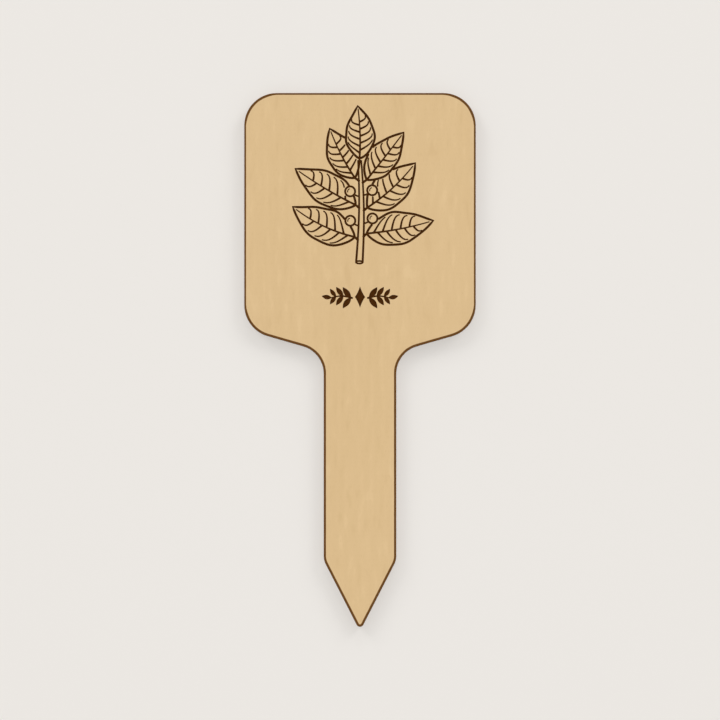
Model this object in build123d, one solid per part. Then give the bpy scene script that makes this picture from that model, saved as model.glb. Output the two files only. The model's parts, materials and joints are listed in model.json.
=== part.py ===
from build123d import *

import math
import os

# Plant label stake: a flat paddle-shaped label on a pointed stem, laser-cut from three-ply birch sheet.
# It lies on its back. +Y runs from the tip to the top of the head, +Z comes out of the front face,
# and the origin is the middle of the outline's box, on the back face.
# All sizes are in millimetres.

# Outline, seen from the front
overall_length = 140.0
head_width = 60.7
head_height = 62.0
head_corner_radius = 8.5
shoulder_drop = 6.0
neck_radius = 7.5
stem_width = 19.0
point_length = 17.4
point_shoulder_radius = 4.7
tip_radius = 1.0

# Laminated sheet: two face veneers bonded to a cross-grained core
face_veneer_thickness = 0.9
core_veneer_thickness = 1.04
glue_line_thickness = 0.08

# Break on the front and back arrises, where the cut edge is rubbed down
arris_radius = 0.2


def point_half_angle():
    """Angle between the stem's axis and each side of the point.

    Each side starts at the full width of the stem and is tangent to the rounded tip.
    """
    half_stem = stem_width / 2
    tip_centre_to_start = point_length - tip_radius
    reach = math.hypot(half_stem, tip_centre_to_start)
    return math.atan2(half_stem, tip_centre_to_start) - math.asin(tip_radius / reach)


def cut_outline():
    """Face inside the cut: straight sides joined by tangent arcs, mirrored about the Y axis."""
    top = overall_length / 2
    tip = -overall_length / 2
    half_head = head_width / 2
    half_stem = stem_width / 2
    apex = tip + tip_radius - tip_radius / math.sin(point_half_angle())

    # Corners before rounding, down the right side from the top edge
    right_side = [
        ((half_head, top), head_corner_radius),
        ((half_head, top - head_height), head_corner_radius),
        ((half_stem, top - head_height - shoulder_drop), neck_radius),
        ((half_stem, tip + point_length), point_shoulder_radius),
    ]
    left_side = [((-x, y), radius) for (x, y), radius in reversed(right_side)]
    corners = right_side + [((0, apex), tip_radius)] + left_side
    edge = FilletPolyline(
        *[point for point, _ in corners],
        radius=[radius for _, radius in corners],
        close=True,
    )
    return make_face(edge)


def layer(bottom, thickness):
    """One sheet of the laminate, cut to the outline, from the height of its underside."""
    return extrude(Pos(0, 0, bottom) * cut_outline(), thickness)


def eased(sheet, height):
    """The sheet with the arris at that height rubbed to a small round."""
    arris = sheet.edges().filter_by_position(Axis.Z, height, height)
    return fillet(arris, arris_radius)


def build_laminate():
    """Every sheet of the stake by name, from the back face to the front."""
    back_joint = face_veneer_thickness
    core_back = back_joint + glue_line_thickness
    core_front = core_back + core_veneer_thickness
    front_joint = core_front + glue_line_thickness
    front = front_joint + face_veneer_thickness
    return {
        "back_veneer": eased(layer(0, face_veneer_thickness), 0),
        "back_glue_line": layer(back_joint, glue_line_thickness),
        "core_veneer": layer(core_back, core_veneer_thickness),
        "front_glue_line": layer(core_front, glue_line_thickness),
        "front_veneer": eased(layer(front_joint, face_veneer_thickness), front),
    }


os.makedirs("parts", exist_ok=True)
for name, sheet in build_laminate().items():
    export_step(sheet, f"parts/{name}.step")
    print(name, "volume", round(sheet.volume, 1), "mm3", "valid", sheet.is_valid)
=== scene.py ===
"""Dress the plant label stake: sanded birch faces, a scorched cut edge and a laser-engraved bay sprig.

Everything is in metres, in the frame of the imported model. The stake lies on its back, +Y runs from the
tip to the top of the head and +Z comes out of the engraved face.
"""

import json
import logging
import math
from collections.abc import Iterable, Iterator
from contextlib import contextmanager
from dataclasses import dataclass
from enum import Enum

import bpy
import numpy as np
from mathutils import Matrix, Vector

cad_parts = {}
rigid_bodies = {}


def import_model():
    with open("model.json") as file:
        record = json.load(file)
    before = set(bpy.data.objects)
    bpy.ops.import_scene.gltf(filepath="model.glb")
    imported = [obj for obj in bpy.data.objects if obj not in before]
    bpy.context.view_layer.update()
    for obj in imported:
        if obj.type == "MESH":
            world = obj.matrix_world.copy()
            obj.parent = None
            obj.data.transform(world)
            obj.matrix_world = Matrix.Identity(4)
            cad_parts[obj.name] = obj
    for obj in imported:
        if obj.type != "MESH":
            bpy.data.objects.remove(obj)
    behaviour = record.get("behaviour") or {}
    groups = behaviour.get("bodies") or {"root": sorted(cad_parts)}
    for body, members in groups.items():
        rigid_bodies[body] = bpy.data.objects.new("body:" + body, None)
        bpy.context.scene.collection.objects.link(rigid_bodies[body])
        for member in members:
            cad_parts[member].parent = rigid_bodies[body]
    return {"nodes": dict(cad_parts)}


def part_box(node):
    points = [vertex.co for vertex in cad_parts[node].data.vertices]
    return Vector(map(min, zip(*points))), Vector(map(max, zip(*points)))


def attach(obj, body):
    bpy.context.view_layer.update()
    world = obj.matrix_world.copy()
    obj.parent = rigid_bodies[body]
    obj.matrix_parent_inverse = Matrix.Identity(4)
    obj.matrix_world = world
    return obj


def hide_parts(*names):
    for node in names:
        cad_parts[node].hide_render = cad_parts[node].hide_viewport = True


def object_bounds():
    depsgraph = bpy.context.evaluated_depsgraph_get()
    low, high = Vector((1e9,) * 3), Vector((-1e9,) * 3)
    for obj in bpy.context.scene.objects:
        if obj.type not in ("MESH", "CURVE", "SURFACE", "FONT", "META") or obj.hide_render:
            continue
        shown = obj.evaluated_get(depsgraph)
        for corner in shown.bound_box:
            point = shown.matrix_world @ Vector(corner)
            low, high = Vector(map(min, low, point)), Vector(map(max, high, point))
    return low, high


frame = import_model()
CAD_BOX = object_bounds()

MM = 0.001
BODY = "root"
SCORCH_GAP = "scorch_gap"
OUT_OF_FACE = (0.0, 0.0, 1.0)
NOISE_MEAN = 0.5
LOG = logging.getLogger("label_stake")

Pair = tuple[float, float]
Triple = tuple[float, float, float]
Colour = Triple
Socket = bpy.types.NodeSocket
Feed = Socket | float | tuple[float, ...]


class Grain(Enum):
    """The way that a veneer's fibres run, as a unit vector in the frame."""

    ALONG_STEM = (0.0, 1.0, 0.0)
    ACROSS_STEM = (1.0, 0.0, 0.0)


class Face(Enum):
    """The side of the laminate that a face veneer is on, as the Z of its outward normal."""

    FRONT = 1.0
    BACK = -1.0


class Pick(Enum):
    """What is picked in edit mode, as the switches for points, edges and faces."""

    POINTS = (True, False, False)
    FACES = (False, False, True)


@dataclass(frozen=True)
class Pattern:
    """Soft noise of one scale: the size of its cells, its weight in a finish and its octaves."""

    cell: Triple
    weight: float = 1.0
    detail: float = 2.0


class NodeGraph:
    """A node tree that is built up a node at a time."""

    def __init__(self, tree: bpy.types.NodeTree) -> None:
        """Start on a tree."""
        self.tree = tree

    def feed(self, node: bpy.types.Node, inputs: dict[str | int, Feed]) -> None:
        """Link outputs to a node's inputs, or set the inputs' own values.

        Args:
            node: The node to feed.
            inputs: An output of another node, or a constant, for each input by its name or place.
        """
        for key, value in inputs.items():
            socket = node.inputs[key]
            if isinstance(value, bpy.types.NodeSocket):
                self.tree.links.new(value, socket)
            else:
                socket.default_value = (*value, 1.0) if socket.type == "RGBA" else value

    def add(self, kind: str, inputs: dict[str | int, Feed], **settings: object) -> bpy.types.Node:
        """Add a node.

        Args:
            kind: The node's type.
            inputs: What its inputs are fed with.
            settings: Its properties by name.

        Returns:
            The new node.
        """
        node = self.tree.nodes.new(kind)
        for name, value in settings.items():
            setattr(node, name, value)
        self.feed(node, inputs)
        return node

    def calc(self, operation: str, *values: Feed) -> Socket:
        """The result of an operation on one, two or three values."""
        return self.add("ShaderNodeMath", dict(enumerate(values)), operation=operation).outputs["Value"]


class ShaderGraph(NodeGraph):
    """The node tree of one material, round its surface shader."""

    def __init__(self, name: str, roughness: float, specular: float) -> None:
        """Start a material.

        Args:
            name: The material's name.
            roughness: The roughness all over, until a pattern is linked to it.
            specular: The specular level, which is the same all over.
        """
        self.material = bpy.data.materials.new(name)
        self.material.use_nodes = True
        super().__init__(self.material.node_tree)
        self.surface = self.tree.nodes["Principled BSDF"]
        self.feed(self.surface, {"Roughness": roughness, "Specular IOR Level": specular})

    def place(self) -> Socket:
        """The point on the piece, in the frame."""
        return self.add("ShaderNodeTexCoord", {}).outputs["Object"]

    def axis(self, name: str) -> Socket:
        """One coordinate, X, Y or Z, of the point on the piece."""
        return self.add("ShaderNodeSeparateXYZ", {"Vector": self.place()}).outputs[name]

    def facing(self, direction: Triple) -> Socket:
        """How squarely the surface faces along a direction or against it, from 0 to 1.

        Args:
            direction: A unit vector in the frame.

        Returns:
            The size of the cosine between the two.
        """
        normal = self.add("ShaderNodeTexCoord", {}).outputs["Normal"]
        product = self.add("ShaderNodeVectorMath", {0: normal, 1: direction}, operation="DOT_PRODUCT")
        return self.calc("ABSOLUTE", product.outputs["Value"])

    def noise(self, pattern: Pattern, shift: float = 0.0) -> Socket:
        """Soft noise whose cells have a size of their own along each axis.

        Args:
            pattern: The size of its cells and its detail.
            shift: Where in the noise the piece lies, in cells.

        Returns:
            A value about the noise's mean.
        """
        scale = tuple(1.0 / size for size in pattern.cell)
        inputs = {"Vector": self.place(), "Location": (shift, shift, shift), "Scale": scale}
        place = self.add("ShaderNodeMapping", inputs).outputs["Vector"]
        inputs = {"Vector": place, "Scale": 1.0, "Detail": pattern.detail}
        return self.add("ShaderNodeTexNoise", inputs).outputs["Fac"]

    def plus(self, base: Feed, value: Socket, weight: float) -> Socket:
        """A value times its weight, on top of a base."""
        return self.calc("MULTIPLY_ADD", value, weight, base)

    def fade(self, value: Feed, start: float, end: float) -> Socket:
        """A smooth step from 0 at one value to 1 at another.

        Args:
            value: What is stepped.
            start: Where the step begins.
            end: Where it is over, above or below start.

        Returns:
            The step, from 0 to 1.
        """
        low, high = sorted((start, end))
        first, last = (0.0, 1.0) if start < end else (1.0, 0.0)
        inputs = {"Value": value, "From Min": low, "From Max": high, "To Min": first, "To Max": last}
        return self.add("ShaderNodeMapRange", inputs, interpolation_type="SMOOTHSTEP").outputs["Result"]

    def blend(self, share: Feed, first: Colour | Socket, second: Colour | Socket) -> Socket:
        """A colour between two.

        Args:
            share: How much of the second colour shows, from 0 to 1.
            first: The colour at 0.
            second: The colour at 1.

        Returns:
            The mixed colour.
        """
        node = self.add("ShaderNodeMix", {"Factor": share}, data_type="RGBA")
        places = [place for place, socket in enumerate(node.inputs) if socket.type == "RGBA"]
        self.feed(node, dict(zip(places, (first, second))))
        return next(socket for socket in node.outputs if socket.type == "RGBA")

    def paint(self, colour: Colour | Socket) -> None:
        """Give the surface its colour."""
        self.feed(self.surface, {"Base Color": colour})

    def roughen(self, share: Feed, roughness: Pair) -> None:
        """Vary the surface's roughness, from the first value where the share is 0 to the second at 1."""
        inputs = {"Value": share, "To Min": roughness[0], "To Max": roughness[1]}
        self.feed(self.surface, {"Roughness": self.add("ShaderNodeMapRange", inputs).outputs["Result"]})

    def emboss(self, height: Socket, depth: float) -> None:
        """Raise and sink the surface by a pattern from 0 to 1, which stands for a height difference."""
        bump = self.add("ShaderNodeBump", {"Height": height, "Distance": depth, "Strength": 1.0})
        self.feed(self.surface, {"Normal": bump.outputs["Normal"]})


@dataclass(frozen=True)
class CutEdge:
    """The charred wall that the laser leaves, ribbed from face to face by its pulses."""

    grain: Grain
    burnt: Colour = (0.080, 0.033, 0.009)
    toasted: Colour = (0.270, 0.133, 0.044)
    rib: Pattern = Pattern((0.22 * MM, 0.22 * MM, 12.0 * MM), weight=0.7, detail=3.0)
    fibre: Pattern = Pattern((2.5 * MM, 2.5 * MM, 0.07 * MM), weight=0.3)
    toast_range: Pair = (0.28, 0.78)
    patch: Pattern = Pattern((4.0 * MM, 4.0 * MM, 4.0 * MM), weight=0.8)
    end_grain_share: float = 0.35

    def ribs(self, graph: ShaderGraph) -> Socket:
        """The ribs, as noise that only changes along the outline."""
        return graph.noise(self.rib)

    def colour(self, graph: ShaderGraph) -> Socket:
        """The colour of the wall, uneven from place to place and darker on end grain.

        Args:
            graph: The material that it is part of.

        Returns:
            The mixed colour.
        """
        fibres = graph.calc("MULTIPLY", graph.noise(self.fibre), self.fibre.weight)
        toast = graph.fade(graph.plus(fibres, self.ribs(graph), self.rib.weight), *self.toast_range)
        toast = graph.plus(toast, graph.facing(self.grain.value), -self.end_grain_share)
        patches = graph.calc("SUBTRACT", graph.noise(self.patch), NOISE_MEAN)
        toast = graph.plus(toast, patches, self.patch.weight)
        return graph.blend(graph.calc("MAXIMUM", toast, 0.0), self.burnt, self.toasted)


@dataclass(frozen=True)
class VeneerFinish:
    """Sanded birch with its grain along the stem, scorched in a thin line along the cut edge."""

    name: str
    shift: float
    edge: CutEdge = CutEdge(Grain.ALONG_STEM)
    roughness: Pair = (0.62, 0.88)
    specular: float = 0.12
    light: Colour = (0.741, 0.531, 0.286)
    dark: Colour = (0.658, 0.457, 0.234)
    middle_tone: float = 0.5
    band: Pattern = Pattern((7.0 * MM, 80.0 * MM, 7.0 * MM), weight=0.34)
    streak: Pattern = Pattern((1.8 * MM, 20.0 * MM, 1.8 * MM), weight=0.40)
    fibre: Pattern = Pattern((0.10 * MM, 4.0 * MM, 0.10 * MM), weight=0.26, detail=3.0)
    fibre_height: float = 0.012 * MM
    fleck: Pattern = Pattern((1.7 * MM, 6.5 * MM, 1.7 * MM), weight=0.38, detail=1.0)
    bright_fleck: Pair = (0.60, 0.76)
    dark_fleck: Pair = (0.40, 0.24)
    fleck_strength: float = 0.22
    pore: Pattern = Pattern((0.06 * MM, 1.3 * MM, 0.06 * MM), weight=0.72, detail=1.0)
    pore_range: Pair = (0.60, 0.72)
    scorch_burnt: Colour = (0.076, 0.030, 0.007)
    scorch_toasted: Colour = (0.195, 0.084, 0.018)
    head_scorch: float = 0.475 * MM
    stem_scorch: float = 0.575 * MM
    curve_scorch: float = 0.64 * MM
    scorch_blur: float = 0.04 * MM
    scorch_wander: Pattern = Pattern((1.6 * MM, 1.6 * MM, 1.6 * MM), weight=0.07 * MM)
    wall_facing: Pair = (0.55, 0.15)

    def wood_colour(self, graph: ShaderGraph, fibres: Socket) -> Socket:
        """The colour of the bare wood, from its bands, streaks, fibres, silky flecks and fine pores.

        Args:
            graph: The material that it is part of.
            fibres: The noise of the single fibres.

        Returns:
            The mixed colour.
        """
        flecks = graph.noise(self.fleck, self.shift)
        layers = {
            self.band: graph.noise(self.band, self.shift),
            self.streak: graph.noise(self.streak, self.shift),
            self.fibre: fibres,
            self.fleck: flecks,
        }
        tone: Feed = self.middle_tone - NOISE_MEAN * sum(layer.weight for layer in layers)
        for layer, noise in layers.items():
            tone = graph.plus(tone, noise, layer.weight)
        tone = graph.plus(tone, graph.fade(flecks, *self.bright_fleck), self.fleck_strength)
        tone = graph.plus(tone, graph.fade(flecks, *self.dark_fleck), -self.fleck_strength)
        pores = graph.fade(graph.noise(self.pore, self.shift), *self.pore_range)
        return graph.blend(graph.plus(tone, pores, -self.pore.weight), self.dark, self.light)

    def scorch(self, graph: ShaderGraph) -> Socket:
        """Where the face is scorched: a line along the arris that wanders a little.

        Args:
            graph: The material that it is part of.

        Returns:
            1 on the burnt line and the cut edge, 0 on bare wood.
        """
        gap = graph.add("ShaderNodeAttribute", {}, attribute_name=SCORCH_GAP).outputs["Fac"]
        gap = graph.plus(gap, graph.noise(self.scorch_wander, self.shift), self.scorch_wander.weight)
        middle = NOISE_MEAN * self.scorch_wander.weight
        return graph.fade(gap, middle + self.scorch_blur, middle - self.scorch_blur)

    def material(self) -> bpy.types.Material:
        """Build the material.

        Returns:
            The finished material.
        """
        graph = ShaderGraph(self.name, self.roughness[0], self.specular)
        fibres = graph.noise(self.fibre, self.shift)
        scorch = self.scorch(graph)
        scorched = graph.blend(self.edge.ribs(graph), self.scorch_burnt, self.scorch_toasted)
        face = graph.blend(scorch, self.wood_colour(graph, fibres), scorched)
        wall = graph.fade(graph.facing(OUT_OF_FACE), *self.wall_facing)
        graph.paint(graph.blend(wall, face, self.edge.colour(graph)))
        graph.roughen(scorch, self.roughness)
        graph.emboss(fibres, self.fibre_height)
        return graph.material


@dataclass(frozen=True)
class EngravingFinish:
    """Charred wood in the engraved lines, toasted at their lips and nearly black below."""

    surface: float
    roughness: float = 0.9
    specular: float = 0.05
    lip: Colour = (0.150, 0.055, 0.008)
    char: Colour = (0.076, 0.0245, 0.0030)
    soot: Colour = (0.048, 0.0145, 0.0015)
    lip_depth: float = 0.02 * MM
    char_depth: float = 0.10 * MM
    fibre: Pattern = Pattern((0.09 * MM, 1.6 * MM, 0.09 * MM), detail=3.0)
    char_range: Pair = (0.35, 0.65)
    blister_height: float = 0.03 * MM

    def material(self) -> bpy.types.Material:
        """Build the material.

        Returns:
            The finished material.
        """
        graph = ShaderGraph("engraving_char", self.roughness, self.specular)
        lip_height, char_height = self.surface - self.lip_depth, self.surface - self.char_depth
        depth = graph.fade(graph.axis("Z"), lip_height, char_height)
        fibres = graph.noise(self.fibre)
        floor = graph.blend(graph.fade(fibres, *self.char_range), self.soot, self.char)
        graph.paint(graph.blend(depth, self.lip, floor))
        graph.emboss(fibres, self.blister_height)
        return graph.material


@dataclass(frozen=True)
class CoreFinish:
    """The middle veneer, grain across the stem, of which only the cut edge shows."""

    edge: CutEdge = CutEdge(Grain.ACROSS_STEM, (0.046, 0.018, 0.005), (0.200, 0.096, 0.032))
    roughness: float = 0.86
    specular: float = 0.15
    rib_height: float = 0.03 * MM

    def material(self) -> bpy.types.Material:
        """Build the material.

        Returns:
            The finished material.
        """
        graph = ShaderGraph("core_cut_edge", self.roughness, self.specular)
        graph.paint(self.edge.colour(graph))
        graph.emboss(self.edge.ribs(graph), self.rib_height)
        return graph.material


@dataclass(frozen=True)
class GlueFinish:
    """The cured glue film, a dark thread along the cut edge with a dull shine."""

    dark: Colour = (0.016, 0.006, 0.002)
    light: Colour = (0.046, 0.020, 0.007)
    roughness: Pair = (0.5, 0.8)
    specular: float = 0.2
    bead: Pattern = Pattern((0.5 * MM, 0.5 * MM, 0.5 * MM), detail=3.0)
    light_range: Pair = (0.35, 0.7)
    bead_height: float = 0.02 * MM

    def material(self) -> bpy.types.Material:
        """Build the material.

        Returns:
            The finished material.
        """
        graph = ShaderGraph("glue_line", self.roughness[0], self.specular)
        beads = graph.noise(self.bead)
        graph.paint(graph.blend(graph.fade(beads, *self.light_range), self.dark, self.light))
        graph.roughen(beads, self.roughness)
        graph.emboss(beads, self.bead_height)
        return graph.material


@dataclass(frozen=True)
class FloorFinish:
    """Plain pale paper under the stake."""

    colour: Colour = (0.838, 0.807, 0.767)
    roughness: float = 0.95

    def material(self) -> bpy.types.Material:
        """Build the material.

        Returns:
            The finished material.
        """
        graph = ShaderGraph("pale_paper", self.roughness, specular=0.0)
        graph.paint(self.colour)
        return graph.material


def select_only(piece: bpy.types.Object) -> None:
    """Make one object the only selected one, and the active one.

    Args:
        piece: The object.
    """
    bpy.ops.object.select_all(action="DESELECT")
    piece.select_set(True)
    bpy.context.view_layer.objects.active = piece


@contextmanager
def editing(
    piece: bpy.types.Object, chosen: Iterable[int] | None = None, pick: Pick = Pick.FACES
) -> Iterator[None]:
    """Edit mode on one piece.

    Args:
        piece: The object to edit.
        chosen: The faces or points that start selected, or None for all of them.
        pick: Whether faces or points are selected.

    Yields:
        Nothing, with the piece in edit mode.
    """
    select_only(piece)
    mesh = piece.data
    for item in (*mesh.vertices, *mesh.edges, *mesh.polygons):
        item.select = False
    items = mesh.polygons if pick is Pick.FACES else mesh.vertices
    for index in range(len(items)) if chosen is None else chosen:
        items[index].select = True
    bpy.context.tool_settings.mesh_select_mode = pick.value
    bpy.ops.object.mode_set(mode="EDIT")
    yield
    bpy.ops.object.mode_set(mode="OBJECT")


def distance_to_outline(
    points: np.ndarray, outline: np.ndarray, border: np.ndarray | float = 0.0
) -> np.ndarray:
    """Distance from points to the nearest side of a closed outline, or to a border along it.

    Args:
        points: Points in the plane, one a row.
        outline: The outline's corners in order, one a row.
        border: The border's width, at each corner or all along.

    Returns:
        One distance for each point, less than 0 in the border.
    """
    widths = np.broadcast_to(border, len(outline))
    nearest = np.full(len(points), np.inf)
    for index, (start, width) in enumerate(zip(outline, widths), start=1 - len(outline)):
        side = outline[index] - start
        along = np.clip((points - start) @ side / (side @ side), 0.0, 1.0)
        gap = np.linalg.norm(points - start - along[:, None] * side, axis=1)
        nearest = np.minimum(nearest, gap - width - along * (widths[index] - width))
    return nearest


def inside_outline(points: np.ndarray, outline: np.ndarray) -> np.ndarray:
    """Which points lie inside a closed outline.

    Args:
        points: Points in the plane, one a row.
        outline: The outline's corners in order, one a row.

    Returns:
        One truth value for each point.
    """
    inside = np.zeros(len(points), bool)
    x, y = points.T
    for (x0, y0), (x1, y1) in zip(outline, np.roll(outline, -1, axis=0)):
        if y0 != y1:
            inside ^= ((y0 > y) != (y1 > y)) & (x < x0 + (x1 - x0) * (y - y0) / (y1 - y0))
    return inside


def unit_vectors(angle: np.ndarray) -> np.ndarray:
    """The unit vectors at some angles, one a row."""
    return np.stack([np.cos(angle), np.sin(angle)], axis=1)


def full_turn(count: int) -> np.ndarray:
    """A number of unit vectors set evenly all the way round, one a row."""
    return unit_vectors(np.linspace(0.0, 2.0 * math.pi, count, endpoint=False))


@dataclass(frozen=True)
class Stroke:
    """One engraved line: the points that it runs through, with its half width at each."""

    points: np.ndarray
    half_widths: np.ndarray
    closed: bool = False

    @staticmethod
    def tapered(points: np.ndarray, start: float, end: float) -> "Stroke":
        """An open line through points, whose half width changes evenly from the start to the end."""
        return Stroke(points, np.linspace(start, end, len(points)))

    def visible(self, outlines: list[np.ndarray], gap: float) -> list["Stroke"]:
        """The runs of this line that shapes in front of it leave showing.

        Args:
            outlines: The outlines of the shapes in front.
            gap: How far from an outline the line stops.

        Returns:
            The runs of two points and more.
        """
        shown = np.ones(len(self.points), bool)
        for outline in outlines:
            shown &= ~inside_outline(self.points, outline)
            shown &= distance_to_outline(self.points, outline) > gap
        if shown.all():
            return [self]
        breaks = np.flatnonzero(np.diff(shown.astype(int))) + 1
        runs = np.split(np.arange(len(shown)), breaks)
        kept = [run for run in runs if shown[run[0]] and len(run) > 1]
        return [Stroke(self.points[run], self.half_widths[run]) for run in kept]


@dataclass(frozen=True)
class BayLeaf:
    """A smooth-edged leaf drawn in line: a bent midrib, two margins that meet in a point, and veins."""

    base: Pair
    length: float
    half_width: float
    heading: float
    bend: float
    lean: float = 0.0
    wave_start: float = 0.0
    vein_pairs: int = 5
    base_fullness: float = 0.82
    tip_taper: float = 1.12
    wave_height: float = 0.03
    wave_count: float = 2.6
    margin_line: float = 0.32 * MM
    margin_trim: int = 2
    point_line: float = 0.17 * MM
    point_length: float = 1.0 * MM
    midrib_line: Pair = (0.29 * MM, 0.17 * MM)
    midrib_end: float = 0.93
    vein_line: Pair = (0.29 * MM, 0.18 * MM)
    first_vein: float = 0.10
    vein_span: float = 0.60
    vein_stagger: float = 0.45
    vein_lead: Pair = (0.20, 0.10)
    vein_reach: Pair = (0.86, 0.80)
    vein_root: float = 0.045
    vein_sweep: float = 0.25
    sweep_power: float = 2.4
    vein_bow: float = 0.46 * math.pi
    margin_points: int = 110
    vein_points: int = 16

    def midrib_at(self, along: np.ndarray) -> tuple[np.ndarray, np.ndarray]:
        """Points on the midrib, an arc that turns evenly from the base to the tip.

        Args:
            along: Shares of the leaf's length, from 0 at the base to 1 at the tip.

        Returns:
            The points, and the unit vectors to the left of the midrib there.
        """
        turn = -math.radians(self.bend)
        left_at_base = math.radians(180.0 - self.heading)
        left = unit_vectors(left_at_base + turn * along)
        from_base = unit_vectors(np.array([left_at_base])) - left
        return self.base + self.length / turn * from_base, left

    def width_at(self, along: np.ndarray, side: int) -> np.ndarray:
        """Distance from the midrib to the margin.

        Args:
            along: Shares of the leaf's length.
            side: 1 for the left margin, -1 for the right one.

        Returns:
            One distance for each share.
        """
        widest = self.base_fullness / (self.base_fullness + self.tip_taper)
        full = widest**self.base_fullness * (1.0 - widest) ** self.tip_taper
        profile = along**self.base_fullness * (1.0 - along) ** self.tip_taper / full
        wave = np.sin(2.0 * math.pi * self.wave_count * along + self.wave_start + side)
        return self.half_width * profile * (1.0 + side * self.lean) * (1.0 + self.wave_height * wave)

    def point(self, along: np.ndarray, reach: np.ndarray | float, side: int) -> np.ndarray:
        """Points at shares of the leaf's length and of the way out to the margin on one side."""
        centre, left = self.midrib_at(along)
        return centre + left * (side * reach * self.width_at(along, side))[:, None]

    def margin_shares(self) -> np.ndarray:
        """Shares of the leaf's length from the base to the tip, closest together at both.

        Returns:
            One share for each point of a margin.
        """
        even = np.linspace(0.0, 1.0, self.margin_points)
        eased = 0.5 - 0.5 * np.cos(math.pi * even)
        return (even + eased) / 2

    def margin(self, side: int) -> np.ndarray:
        """Points along one margin, from the base to the tip."""
        return self.point(self.margin_shares(), 1.0, side)

    def outline(self) -> np.ndarray:
        """The closed outline of the leaf."""
        return np.concatenate([self.margin(1), self.margin(-1)[-2:0:-1]])

    def vein(self, rank: float, side: int) -> Stroke:
        """One side vein, which leaves the side of the midrib at a slant and curves on towards the tip.

        Args:
            rank: Where it starts, from 0 for the vein nearest the base to 1.
            side: 1 for the left half of the leaf, -1 for the right half.

        Returns:
            The line.
        """
        out = np.linspace(self.vein_root, 1.0, self.vein_points)
        lead = np.interp(rank, (0.0, 1.0), self.vein_lead)
        reach = np.interp(rank, (0.0, 1.0), self.vein_reach)
        sweep = (1.0 - self.vein_sweep) * out + self.vein_sweep * out**self.sweep_power
        along = self.first_vein + self.vein_span * rank + lead * sweep
        bow = np.sin(self.vein_bow * out) / math.sin(self.vein_bow)
        return Stroke.tapered(self.point(along, reach * bow, side), *self.vein_line)

    def outline_strokes(self) -> list[Stroke]:
        """The two margins, thinned into the point, where the second ends a little short of the first.

        Returns:
            The two lines.
        """
        to_tip = self.length * (1.0 - self.margin_shares())
        half_widths = np.interp(to_tip, (0.0, self.point_length), (self.point_line, self.margin_line))
        short = slice(self.margin_trim, -self.margin_trim)
        return [Stroke(self.margin(1), half_widths), Stroke(self.margin(-1)[short], half_widths[short])]

    def inner_strokes(self) -> list[Stroke]:
        """The midrib and the side veins, which alternate from side to side.

        Returns:
            The lines, the midrib first.
        """
        along = np.linspace(0.0, self.midrib_end, self.margin_points // 2)
        lines = [Stroke.tapered(self.midrib_at(along)[0], *self.midrib_line)]
        for side, stagger in ((1, 0.0), (-1, self.vein_stagger)):
            ranks = (np.arange(self.vein_pairs) + stagger) / (self.vein_pairs - 0.5)
            lines += [self.vein(rank, side) for rank in ranks]
        return lines


@dataclass(frozen=True)
class Berry:
    """A round berry on a short stalk, with a curved glint."""

    centre: Pair
    stalk_foot: Pair
    radius: float = 1.3 * MM
    ring_line: float = 0.28 * MM
    stalk_line: float = 0.24 * MM
    stalk_bend: float = 1.6
    glint_line: float = 0.15 * MM
    glint_radius: float = 0.66 * MM
    glint_arc: Pair = (105.0, 195.0)
    ring_points: int = 48
    stalk_points: int = 14

    def outline(self) -> np.ndarray:
        """The closed outline of the berry."""
        return self.centre + self.radius * full_turn(self.ring_points)

    def stalk(self) -> np.ndarray:
        """Points along the stalk, which bends up towards the berry and ends at its rim.

        Returns:
            The points, one a row.
        """
        share = np.linspace(0.0, 1.0, self.stalk_points)
        foot = np.array(self.stalk_foot)
        reach = np.array(self.centre) - foot
        points = foot + np.stack([reach[0] * share, reach[1] * share**self.stalk_bend], axis=1)
        return points[np.linalg.norm(points - self.centre, axis=1) > self.radius]

    def strokes(self) -> list[Stroke]:
        """The ring, the glint and the stalk.

        Returns:
            The three lines.
        """
        ring = self.outline()
        angle = np.radians(np.linspace(*self.glint_arc, self.stalk_points))
        glint = self.centre + self.glint_radius * unit_vectors(angle)
        return [
            Stroke(ring, np.full(len(ring), self.ring_line), closed=True),
            Stroke.tapered(glint, self.glint_line, self.glint_line),
            Stroke.tapered(self.stalk(), self.stalk_line, self.stalk_line),
        ]


@dataclass(frozen=True)
class LeafPlan:
    """Where a leaf grows on the sprig, and its size and set."""

    side: int
    height: float
    length: float
    half_width: float
    heading: float
    bend: float


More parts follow.
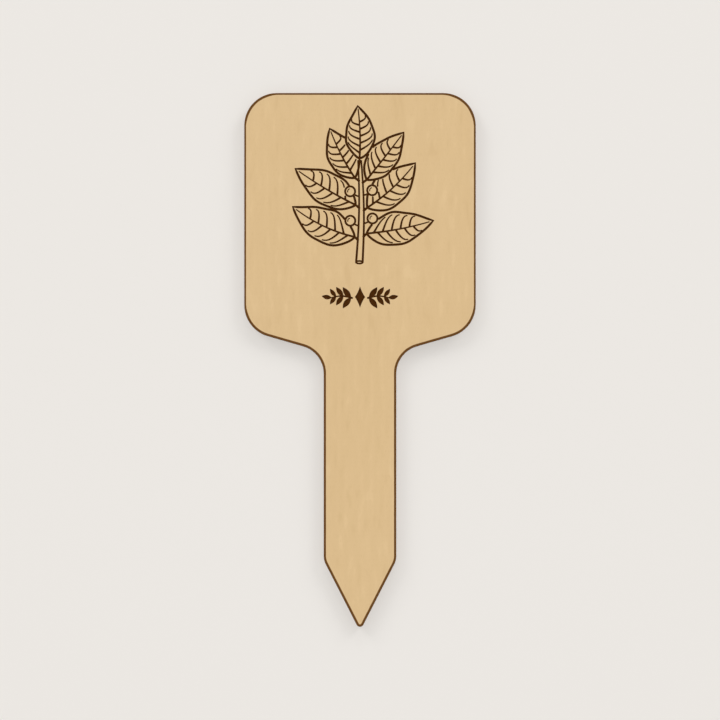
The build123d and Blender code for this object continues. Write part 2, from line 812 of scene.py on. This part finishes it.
@dataclass(frozen=True)
class BaySprig:
    """An upright sprig of bay: a curved stem, three pairs of leaves, an end leaf and four berries."""

    foot: Pair
    stem_height: float = 26.6 * MM
    stem_sway: float = 0.55 * MM
    sway_turn: float = 3.0
    sway_middle: float = 0.3
    stem_half_width: Pair = (0.85 * MM, 0.42 * MM)
    stem_line: Pair = (0.30 * MM, 0.24 * MM)
    stem_points: int = 90
    cut_end_flat: float = 0.4
    petiole_reach: float = 1.55 * MM
    petiole_rise: float = 0.75 * MM
    petiole_line: Pair = (0.36 * MM, 0.27 * MM)
    petiole_overlap: float = 0.06
    leaf_lean: float = 0.07
    wave_rate: float = 1.7 / MM
    berry_reach: float = 2.9 * MM
    berry_drop: float = 1.3 * MM
    line_gap: float = 0.12 * MM
    end_leaf: LeafPlan = LeafPlan(0, 27.2 * MM, 13.9 * MM, 3.75 * MM, 4.0, -12.0)
    leaves: tuple[LeafPlan, ...] = (
        LeafPlan(1, 20.9 * MM, 15.8 * MM, 3.78 * MM, 39.0, -2.0),
        LeafPlan(-1, 21.4 * MM, 14.6 * MM, 3.90 * MM, -34.0, 14.0),
        LeafPlan(1, 13.6 * MM, 17.3 * MM, 4.44 * MM, 57.0, -20.0),
        LeafPlan(-1, 14.3 * MM, 18.5 * MM, 4.26 * MM, -64.0, 10.0),
        LeafPlan(1, 6.8 * MM, 17.9 * MM, 4.26 * MM, 85.0, -12.0),
        LeafPlan(-1, 5.9 * MM, 18.3 * MM, 4.44 * MM, -77.0, 26.0),
    )
    berries: tuple[tuple[int, float], ...] = (
        (1, 11.5 * MM),
        (-1, 10.9 * MM),
        (-1, 18.6 * MM),
        (1, 18.9 * MM),
    )

    def stem_at(self, height: np.ndarray | float, side: int = 0) -> np.ndarray:
        """Points on the stem.

        Args:
            height: Heights above the sprig's foot.
            side: 0 for the middle of the stem, 1 for its right side, -1 for its left side.

        Returns:
            The points, one a row.
        """
        height = np.atleast_1d(height)
        sway = np.sin(self.sway_turn * height / self.stem_height) - self.sway_middle
        half = np.interp(height, (0.0, self.stem_height), self.stem_half_width)
        x = self.foot[0] + self.stem_sway * sway + side * half
        return np.stack([x, self.foot[1] + height], axis=1)

    def leaf(self, plan: LeafPlan) -> BayLeaf:
        """The leaf that a plan describes, set on the end of its petiole.

        Args:
            plan: Where the leaf grows, and its size and set.

        Returns:
            The leaf.
        """
        x, y = self.stem_at(plan.height)[0]
        return BayLeaf(
            base=(x + plan.side * self.petiole_reach, y + abs(plan.side) * self.petiole_rise),
            length=plan.length,
            half_width=plan.half_width,
            heading=plan.heading,
            bend=plan.bend,
            lean=self.leaf_lean * plan.side,
            wave_start=self.wave_rate * plan.height + plan.side,
        )

    def petiole(self, plan: LeafPlan, leaf: BayLeaf) -> Stroke:
        """The leaf's stalk, from the side of the stem into the foot of the midrib.

        Args:
            plan: Where the leaf grows.
            leaf: The leaf itself.

        Returns:
            The line.
        """
        end = leaf.midrib_at(np.array([0.0, self.petiole_overlap]))[0]
        points = np.concatenate([self.stem_at(plan.height, plan.side), end])
        return Stroke.tapered(points, *self.petiole_line)

    def berry(self, side: int, height: float) -> Berry:
        """The berry at a height on one side of the stem, in the angle under a leaf."""
        centre = self.stem_at(height)[0] + (side * self.berry_reach, 0.0)
        return Berry(tuple(centre), tuple(self.stem_at(height - self.berry_drop, side)[0]))

    def stem_strokes(self) -> list[Stroke]:
        """The two sides of the stem and the oval of its cut end.

        Returns:
            The three lines.
        """
        heights = np.linspace(0.0, self.stem_height, self.stem_points)
        sides = [Stroke.tapered(self.stem_at(heights, side), *self.stem_line) for side in (1, -1)]
        oval = full_turn(self.stem_points // 2) * (1.0, self.cut_end_flat)
        end = self.stem_at(0.0) + self.stem_half_width[0] * oval
        return [*sides, Stroke(end, np.full(len(end), self.stem_line[1]), closed=True)]

    def strokes(self) -> list[Stroke]:
        """Every line that shows, front shapes first, so that each hides what lies behind it.

        Returns:
            The lines of the berries, the leaves and the stem.
        """
        berries = [self.berry(side, height) for side, height in self.berries]
        lines = [line for berry in berries for line in berry.strokes()]
        berry_outlines = [berry.outline() for berry in berries]
        hiding = list(berry_outlines)
        for plan in (self.end_leaf, *self.leaves):
            leaf = self.leaf(plan)
            for line in leaf.outline_strokes():
                lines += line.visible(hiding, leaf.margin_line)
            for line in leaf.inner_strokes():
                lines += line.visible(hiding, leaf.margin_line + self.line_gap)
            if plan.side:
                lines += self.petiole(plan, leaf).visible(berry_outlines, leaf.margin_line)
            hiding.append(leaf.outline())
        stem_front = [*berry_outlines, self.leaf(self.end_leaf).outline()]
        for line in self.stem_strokes():
            lines += line.visible(stem_front, self.stem_line[1])
        return lines


@dataclass(frozen=True)
class Garland:
    """The solid ornament under the sprig: a lozenge between two twigs of small leaves."""

    centre: Pair
    twig_start: float = 2.1 * MM
    twig_length: float = 5.6 * MM
    twig_arch: float = 0.5 * MM
    twig_line: Pair = (0.28 * MM, 0.16 * MM)
    twig_points: int = 40
    leaf_places: tuple[float, ...] = (0.04, 0.40, 0.74)
    leaf_length: float = 3.6 * MM
    leaf_half_width: float = 0.74 * MM
    leaf_shrink: float = 0.13
    leaf_headings: Pair = (46.0, 134.0)
    leaf_curl: float = 16.0
    leaf_fullness: float = 0.95
    leaf_taper: float = 1.1
    end_leaf_place: float = 0.95
    end_leaf_length: float = 2.7 * MM
    end_leaf_half_width: float = 0.60 * MM
    end_leaf_heading: float = 88.0
    lozenge_half: Pair = (1.4 * MM, 2.9 * MM)
    lozenge_power: float = 0.85
    outline_points: int = 64

    def twig_at(self, side: int, along: np.ndarray | float) -> np.ndarray:
        """Points on a twig.

        Args:
            side: 1 for the right twig, -1 for the left one.
            along: Shares of its length, from its foot beside the lozenge.

        Returns:
            The points, one a row.
        """
        along = np.atleast_1d(along)
        x = self.centre[0] + side * (self.twig_start + self.twig_length * along)
        y = self.centre[1] + self.twig_arch * (np.sin(math.pi * along) - 0.5)
        return np.stack([x, y], axis=1)

    def petal(self, base: np.ndarray, length: float, half_width: float, heading: float) -> np.ndarray:
        """The outline of one small leaf, which curls away from the twig.

        Args:
            base: The point that it grows from.
            length: Its length.
            half_width: Half its width at the widest place.
            heading: Its direction, in degrees to the right of straight up.

        Returns:
            The closed outline.
        """
        upwards = math.cos(math.radians(heading)) > 0.0
        leaf = BayLeaf(
            base=tuple(base),
            length=length,
            half_width=half_width,
            heading=heading,
            bend=math.copysign(self.leaf_curl, -heading if upwards else heading),
            wave_height=0.0,
            base_fullness=self.leaf_fullness,
            tip_taper=self.leaf_taper,
            margin_points=self.outline_points // 2 + 1,
        )
        return leaf.outline()

    def lozenge(self) -> np.ndarray:
        """The outline of the lozenge, with faintly hollow sides.

        Returns:
            The closed outline.
        """
        turn = full_turn(self.outline_points)
        hollow = np.sign(turn) * np.abs(turn) ** (2.0 / self.lozenge_power)
        return self.centre + self.lozenge_half * hollow

    def outlines(self) -> list[np.ndarray]:
        """The outlines of all its solid shapes.

        Returns:
            One closed outline for each shape.
        """
        shapes = [self.lozenge()]
        for side in (1, -1):
            for rank, place in enumerate(self.leaf_places):
                base = self.twig_at(side, place)[0]
                size = 1.0 - self.leaf_shrink * rank
                for heading in self.leaf_headings:
                    length, half_width = self.leaf_length * size, self.leaf_half_width * size
                    shapes.append(self.petal(base, length, half_width, side * heading))
            tip = self.twig_at(side, self.end_leaf_place)[0]
            end_size = self.end_leaf_length, self.end_leaf_half_width
            shapes.append(self.petal(tip, *end_size, side * self.end_leaf_heading))
        return shapes

    def strokes(self) -> list[Stroke]:
        """The two twigs."""
        along = np.linspace(0.0, 1.0, self.twig_points)
        return [Stroke.tapered(self.twig_at(side, along), *self.twig_line) for side in (1, -1)]


@dataclass
class EngravingTools:
    """The solids that cut the engraving: a tapered round for each line, a block for each solid shape."""

    surface: float
    finish: bpy.types.Material
    lift: float = 0.1
    round_steps: int = 4
    end_round: tuple[Pair, ...] = ((0.42, 0.91), (0.75, 0.66), (0.95, 0.31))
    block_depth: float = 0.26 * MM
    block_step: float = 0.004 * MM
    block_clearance: float = 0.2 * MM
    block_draft: float = 0.97
    merge_distance: float = 0.002 * MM

    def __post_init__(self) -> None:
        """Make the collection that holds the solids."""
        self.collection = bpy.data.collections.new("engraving_tools")
        bpy.context.scene.collection.children.link(self.collection)

    def rounded(self, stroke: Stroke) -> tuple[np.ndarray, np.ndarray]:
        """A line's points and half widths, with round ends added to an open line.

        Args:
            stroke: The line.

        Returns:
            The points and the half widths.
        """
        if stroke.closed:
            return stroke.points, stroke.half_widths
        points, widths = stroke.points, stroke.half_widths
        steps, shares = np.array(self.end_round).T
        for _ in ("end", "start"):
            last = points[-1] - points[-2]
            outward = last / np.linalg.norm(last)
            points = np.concatenate([points, points[-1] + outward * widths[-1] * steps[:, None]])[::-1]
            widths = np.concatenate([widths, widths[-1] * shares])[::-1]
        return points, widths

    def add_lines(self, strokes: list[Stroke]) -> None:
        """Make one closed round for each line.

        Args:
            strokes: The lines.
        """
        curve = bpy.data.curves.new("engraving_lines", "CURVE")
        curve.dimensions = "3D"
        curve.bevel_depth = 1.0
        curve.bevel_resolution = self.round_steps
        curve.use_fill_caps = True
        for stroke in strokes:
            points, widths = self.rounded(stroke)
            spline = curve.splines.new("POLY")
            spline.points.add(len(points) - 1)
            spline.use_cyclic_u = stroke.closed
            for knot, (x, y), width in zip(spline.points, points, widths):
                knot.co = (x, y, self.surface + self.lift * width, 1.0)
                knot.radius = width
        rounds = bpy.data.objects.new("engraving_lines", curve)
        self.collection.objects.link(rounds)
        select_only(rounds)
        bpy.ops.object.convert(target="MESH")
        rounds = bpy.context.object
        rounds.data.materials.append(self.finish)
        with editing(rounds):
            bpy.ops.mesh.remove_doubles(threshold=self.merge_distance)
            bpy.ops.mesh.normals_make_consistent(inside=False)
            bpy.ops.mesh.separate(type="LOOSE")

    def add_block(self, outline: np.ndarray, rank: int) -> None:
        """Make the block that sinks one solid shape.

        Args:
            outline: The shape's closed outline.
            rank: Its place among the shapes, of which each is cut a hair deeper than the last.
        """
        bpy.ops.object.select_all(action="DESELECT")
        top = self.surface + self.block_clearance
        depth = self.block_depth + rank * self.block_step
        bpy.ops.mesh.primitive_circle_add(vertices=len(outline), radius=MM, fill_type="NGON")
        block = bpy.context.object
        for vertex, (x, y) in zip(block.data.vertices, outline):
            vertex.co = (x, y, top)
        middle = (*outline.mean(axis=0), self.surface)
        with editing(block):
            sink = {"value": (0.0, 0.0, -depth - self.block_clearance)}
            bpy.ops.mesh.extrude_region_move(TRANSFORM_OT_translate=sink)
            draft = (self.block_draft, self.block_draft, 1.0)
            bpy.ops.transform.resize(value=draft, center_override=middle)
            bpy.ops.mesh.select_all(action="SELECT")
            bpy.ops.mesh.normals_make_consistent(inside=False)
        block.data.materials.append(self.finish)
        for holder in block.users_collection:
            holder.objects.unlink(block)
        self.collection.objects.link(block)

    def cut(self, piece: bpy.types.Object) -> None:
        """Cut the engraving into a piece, then put the tools away.

        Args:
            piece: The piece to engrave.
        """
        select_only(piece)
        cutting = piece.modifiers.new("engraving", "BOOLEAN")
        cutting.operation = "DIFFERENCE"
        cutting.solver = "MANIFOLD"
        cutting.operand_type = "COLLECTION"
        cutting.collection = self.collection
        cutting.material_mode = "TRANSFER"
        bpy.ops.object.modifier_apply(modifier=cutting.name)
        self.clean(piece)
        for tool in list(self.collection.objects):
            bpy.data.objects.remove(tool)
        bpy.data.collections.remove(self.collection)

    def clean(self, piece: bpy.types.Object) -> None:
        """Merge points that all but touch, and dissolve those along an edge that join nothing else.

        Args:
            piece: The engraved piece.
        """
        with editing(piece):
            bpy.ops.mesh.remove_doubles(threshold=self.merge_distance)
        ends = [point for edge in piece.data.edges for point in edge.vertices]
        spare = np.flatnonzero(np.bincount(ends) == 2)
        with editing(piece, spare.tolist(), Pick.POINTS):
            bpy.ops.mesh.dissolve_verts()


@dataclass
class FaceVeneer:
    """A face veneer of the laminate: its solid's own shape, ringed inside the arris for the scorch."""

    node: str
    name: str
    face: Face
    finish: VeneerFinish
    ring_width: float = 0.12 * MM
    ring_count: int = 6
    square: float = 2.5 * MM
    neck_below_top: float = 65.0 * MM
    long_side: float = 5.0 * MM
    slowing_path: float = 2.5 * MM
    merge_distance: float = 0.001 * MM
    flat_facing: float = 0.999
    flat_angle: float = math.radians(0.2)
    smooth_angle: float = math.radians(40.0)

    def build(self) -> None:
        """Copy the solid, clean it and ring its outer face."""
        source = frame["nodes"][self.node]
        self.piece = bpy.data.objects.new(self.name, source.data.copy())
        bpy.context.scene.collection.objects.link(self.piece)
        select_only(self.piece)
        bpy.ops.mesh.customdata_custom_splitnormals_clear()
        with editing(self.piece):
            bpy.ops.mesh.remove_doubles(threshold=self.merge_distance)
            bpy.ops.mesh.dissolve_limited(angle_limit=self.flat_angle)
        self.outline = self.widest_outline()
        with editing(self.piece, [self.largest(self.flat_faces(1)).index]):
            for _ in range(self.ring_count):
                bpy.ops.mesh.inset(thickness=self.ring_width, depth=0.0)
        self.divide_outer_face()
        self.piece.data.materials.clear()
        self.piece.data.materials.append(self.finish.material())

    def flat_faces(self, way: int) -> list[bpy.types.MeshPolygon]:
        """The flat faces that look out of the laminate, 1, or in towards its core, -1."""
        up = way * self.face.value
        return [face for face in self.piece.data.polygons if face.normal.z * up > self.flat_facing]

    def largest(self, faces: list[bpy.types.MeshPolygon]) -> bpy.types.MeshPolygon:
        """The largest of some faces."""
        return max(faces, key=lambda face: face.area)

    def divide_outer_face(self) -> None:
        """Divide the flat outer face into small squares, so that no face is large or ragged when cut."""
        for axis in (Vector((1.0, 0.0, 0.0)), Vector((0.0, 1.0, 0.0))):
            reach = self.outline @ np.array(axis.xy)
            for place in np.arange(reach.min() + self.square / 2, reach.max(), self.square):
                with editing(self.piece, [face.index for face in self.flat_faces(1)]):
                    bpy.ops.mesh.bisect(plane_co=axis * place, plane_no=axis)

    def widest_outline(self) -> np.ndarray:
        """The corners of the cut outline in order, from the flat face that is glued to the core."""
        points = self.piece.data.vertices
        return np.array([points[index].co.xy for index in self.largest(self.flat_faces(-1)).vertices])

    def scorch_widths(self) -> np.ndarray:
        """How wide the scorched line is at each corner of the cut outline.

        The laser scorches least where it runs fast, along the straight sides of the head. The narrow
        stem gets hotter, and slants and curves slow the laser down.

        Returns:
            One width for each corner.
        """
        sides = np.roll(self.outline, -1, axis=0) - self.outline
        upright = np.abs(sides).min(axis=1) < self.merge_distance
        fast = upright & (np.abs(sides).max(axis=1) > self.long_side)
        fast |= np.roll(fast, 1)
        to_fast = np.linalg.norm(self.outline[:, None] - self.outline[fast], axis=2).min(axis=1)
        slowed = np.minimum(to_fast / self.slowing_path, 1.0)
        height = self.outline[:, 1]
        on_stem = height < height.max() - self.neck_below_top
        straight = np.where(on_stem, self.finish.stem_scorch, self.finish.head_scorch)
        return straight + slowed * (self.finish.curve_scorch - straight)

    def finish_mesh(self) -> None:
        """Shade the mesh and store each point's distance from the scorched line."""
        select_only(self.piece)
        bpy.ops.object.shade_smooth_by_angle(angle=self.smooth_angle)
        for face in self.flat_faces(1):
            face.use_smooth = False
        mesh = self.piece.data
        points = np.array([vertex.co.xy for vertex in mesh.vertices])
        gap = distance_to_outline(points, self.outline, self.scorch_widths())
        attribute = mesh.attributes.new(SCORCH_GAP, "FLOAT", "POINT")
        attribute.data.foreach_set("value", gap.astype(np.float32))

    def hand_over(self) -> None:
        """Put the piece in its solid's place on the frame."""
        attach(self.piece, BODY)
        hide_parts(self.node)


@dataclass
class EngravedVeneer(FaceVeneer):
    """The front veneer, engraved with the sprig and the garland."""

    sprig_foot_below_top: float = 44.4 * MM
    garland_below_top: float = 53.5 * MM

    def build(self) -> None:
        """Make the plain veneer, then cut the sprig and the garland into it."""
        super().build()
        top_edge = self.outline[:, 1].max()
        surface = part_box(self.node)[1].z
        sprig = BaySprig(foot=(0.0, top_edge - self.sprig_foot_below_top))
        garland = Garland(centre=(0.0, top_edge - self.garland_below_top))
        tools = EngravingTools(surface, EngravingFinish(surface).material())
        tools.add_lines(sprig.strokes() + garland.strokes())
        for rank, outline in enumerate(garland.outlines()):
            tools.add_block(outline, rank)
        tools.cut(self.piece)


@dataclass(frozen=True)
class Softbox:
    """A square lamp that looks at the stake from above."""

    name: str
    share: float
    towards: float = 0.0
    off_vertical: float = 61.5
    size: float = 2.4
    distance: float = 6.0
    samples: int = 48

    def away(self) -> Vector:
        """The direction from the stake to the lamp, turned to the right from the head's side.

        Returns:
            A unit vector.
        """
        tilt, turn = math.radians(self.off_vertical), math.radians(self.towards)
        level = math.sin(tilt)
        return Vector((level * math.sin(turn), level * math.cos(turn), math.cos(tilt)))

    def level_factor(self) -> float:
        """How much of the sky the lamp fills, as a level surface under it counts the sky.

        Returns:
            A share from 0 to 1.
        """
        tilt = math.radians(self.off_vertical)
        steps = self.size * ((np.arange(self.samples) + 0.5) / self.samples - 0.5)
        across, along = np.meshgrid(steps, steps)
        height = self.distance * math.cos(tilt) - along * math.sin(tilt)
        reach = np.sqrt(across**2 + along**2 + self.distance**2)
        seen = (height / reach) * (self.distance / reach) / (math.pi * reach**2)
        return float(seen.sum() * (self.size / self.samples) ** 2)

    def build(self) -> None:
        """Hang the lamp, at a power that lights a level white surface to its share of full white."""
        lamp = bpy.data.lights.new(self.name, "AREA")
        lamp.shape = "SQUARE"
        lamp.size = self.size
        lamp.energy = self.share / self.level_factor() * math.pi * self.size**2
        holder = bpy.data.objects.new(self.name, lamp)
        holder.location = self.away() * self.distance
        holder.rotation_euler = self.away().to_track_quat("Z", "Y").to_euler()
        bpy.context.scene.collection.objects.link(holder)


@dataclass
class Studio:
    """The pale floor, the soft light and the camera that looks straight down on the engraved face."""

    view_width: float = 188.83 * MM
    view_drop: float = 0.024 * MM
    lens: float = 250.0
    sensor: float = 36.0
    floor_radius: float = 3.0
    floor_sides: int = 128
    floor_gap: float = 0.02 * MM
    surround_light: float = 0.235
    paper: FloorFinish = FloorFinish()
    lamps: tuple[Softbox, ...] = (
        Softbox("overhead_lamp", share=0.591, off_vertical=0.0, size=0.3, distance=4.0),
        Softbox("left_softbox", share=0.070, towards=-43.0),
        Softbox("right_softbox", share=0.070, towards=43.0),
        Softbox("head_softbox", share=0.034),
    )

    def build(self) -> None:
        """Set everything up round the stake."""
        self.lay_floor()
        self.light_surround()
        for lamp in self.lamps:
            lamp.build()
        self.place_camera()
        bpy.context.scene.view_settings.view_transform = "Standard"

    def lay_floor(self) -> None:
        """Lay the round floor just under the back face."""
        bpy.ops.object.select_all(action="DESELECT")
        bpy.ops.mesh.primitive_circle_add(
            vertices=self.floor_sides,
            radius=self.floor_radius,
            fill_type="NGON",
            location=(0.0, 0.0, CAD_BOX[0].z - self.floor_gap),
        )
        floor = bpy.context.object
        floor.name = "studio_floor"
        floor.data.materials.append(self.paper.material())

    def light_surround(self) -> None:
        """Light the stake evenly from all round, and show the floor's own colour behind it."""
        world = bpy.data.worlds.new("studio_surround")
        bpy.context.scene.world = world
        world.use_nodes = True
        graph = NodeGraph(world.node_tree)
        light = graph.tree.nodes["Background"]
        graph.feed(light, {"Color": (1.0, 1.0, 1.0), "Strength": self.surround_light})
        backdrop = graph.add("ShaderNodeBackground", {"Color": self.paper.colour})
        rays = graph.add("ShaderNodeLightPath", {}).outputs
        seen = rays["Is Camera Ray"]
        for kind in ("Is Glossy Ray", "Is Transmission Ray"):
            seen = graph.calc("MAXIMUM", seen, rays[kind])
        shaders = {"Fac": seen, 1: light.outputs["Background"], 2: backdrop.outputs["Background"]}
        choice = graph.add("ShaderNodeMixShader", shaders)
        graph.feed(graph.tree.nodes["World Output"], {"Surface": choice.outputs["Shader"]})

    def place_camera(self) -> None:
        """Hang the camera a hair below the middle of the stake, with the head at the picture's top."""
        camera = bpy.data.cameras.new("overhead_camera")
        camera.lens = self.lens
        camera.sensor_width = self.sensor
        holder = bpy.data.objects.new("overhead_camera", camera)
        middle = (CAD_BOX[0] + CAD_BOX[1]) / 2
        height = CAD_BOX[1].z + self.view_width * self.lens / self.sensor
        holder.location = (middle.x, middle.y - self.view_drop, height)
        bpy.context.scene.collection.objects.link(holder)
        bpy.context.scene.camera = holder


def dress_node(node: str, material: bpy.types.Material) -> None:
    """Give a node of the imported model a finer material.

    Args:
        node: The node's name.
        material: What it is made of.
    """
    for slot in frame["nodes"][node].material_slots:
        slot.material = material
    LOG.info("%s: dressed with %s", node, material.name)


def main() -> None:
    """Build the pieces in order, both face veneers first, and then the studio."""
    logging.basicConfig(level=logging.INFO, format="%(message)s")
    front_finish = VeneerFinish("front_birch", shift=0.0)
    back_finish = VeneerFinish("back_birch", shift=37.0)
    for veneer in (
        EngravedVeneer("front_veneer", "engraved_front_veneer", Face.FRONT, front_finish),
        FaceVeneer("back_veneer", "sanded_back_veneer", Face.BACK, back_finish),
    ):
        veneer.build()
        veneer.finish_mesh()
        veneer.hand_over()
        LOG.info("%s: %d faces", veneer.name, len(veneer.piece.data.polygons))
    dress_node("core_veneer", CoreFinish().material())
    glue = GlueFinish().material()
    for node in ("front_glue_line", "back_glue_line"):
        dress_node(node, glue)
    Studio().build()
    LOG.info("studio: floor, lamps and camera")


if __name__ == "__main__":
    main()
